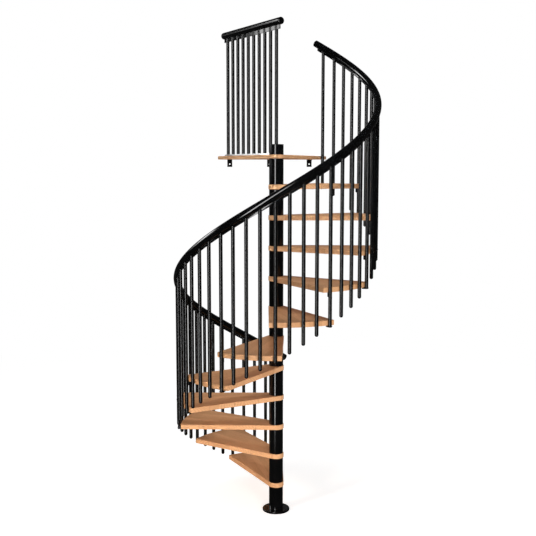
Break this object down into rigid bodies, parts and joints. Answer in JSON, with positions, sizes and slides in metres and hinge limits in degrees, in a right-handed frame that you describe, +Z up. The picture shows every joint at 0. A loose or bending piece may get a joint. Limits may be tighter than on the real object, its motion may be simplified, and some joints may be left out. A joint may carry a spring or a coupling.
{
  "type": "spiral staircase",
  "caption": "Spiral staircase with oak treads on a black steel centre column, a helical baluster railing and a triangular landing.",
  "frame": {"origin": "centre of the base flange's underside, on the floor and on the column's centre line", "axes": "+Z up along the column; +Y from the column towards the landing's back edge; +X to the right, seen by someone who faces +Y"},
  "size_m": [1.4012, 1.4066, 3.3879],
  "materials": {
    "oak": "lacquered oak, stave-glued, with softly eased edges",
    "black_steel": "gloss black powder coat",
    "handrail_black": "gloss black powder coat, a little smoother than the balusters",
    "alloy_bar": "satin"
  },
  "bodies": {
    "root": {"base_flange": "black_steel", "centre_pole": "black_steel", "column_sleeves": "black_steel", "column_cap": "black_steel", "tread_01": "oak", "tread_02": "oak", "tread_03": "oak", "tread_04": "oak", "tread_05": "oak", "tread_06": "oak", "tread_07": "oak", "tread_08": "oak", "tread_09": "oak", "tread_10": "oak", "tread_11": "oak", "landing_board": "oak", "baluster_feet": "black_steel", "corner_blocks": "black_steel", "floor_plate": "black_steel", "first_baluster": "black_steel", "balusters_01": "black_steel", "balusters_02": "black_steel", "balusters_03": "black_steel", "balusters_04": "black_steel", "balusters_05": "black_steel", "balusters_06": "black_steel", "balusters_07": "black_steel", "balusters_08": "black_steel", "balusters_09": "black_steel", "balusters_10": "black_steel", "balusters_11": "black_steel", "handrail": "handrail_black", "handrail_bar": "black_steel", "handrail_caps": "handrail_black", "guard_rail": "handrail_black", "guard_bar": "black_steel", "guard_caps": "handrail_black", "guard_balusters": "black_steel", "guard_base": "alloy_bar", "wall_brackets": "black_steel"}
  },
  "joints": []
}
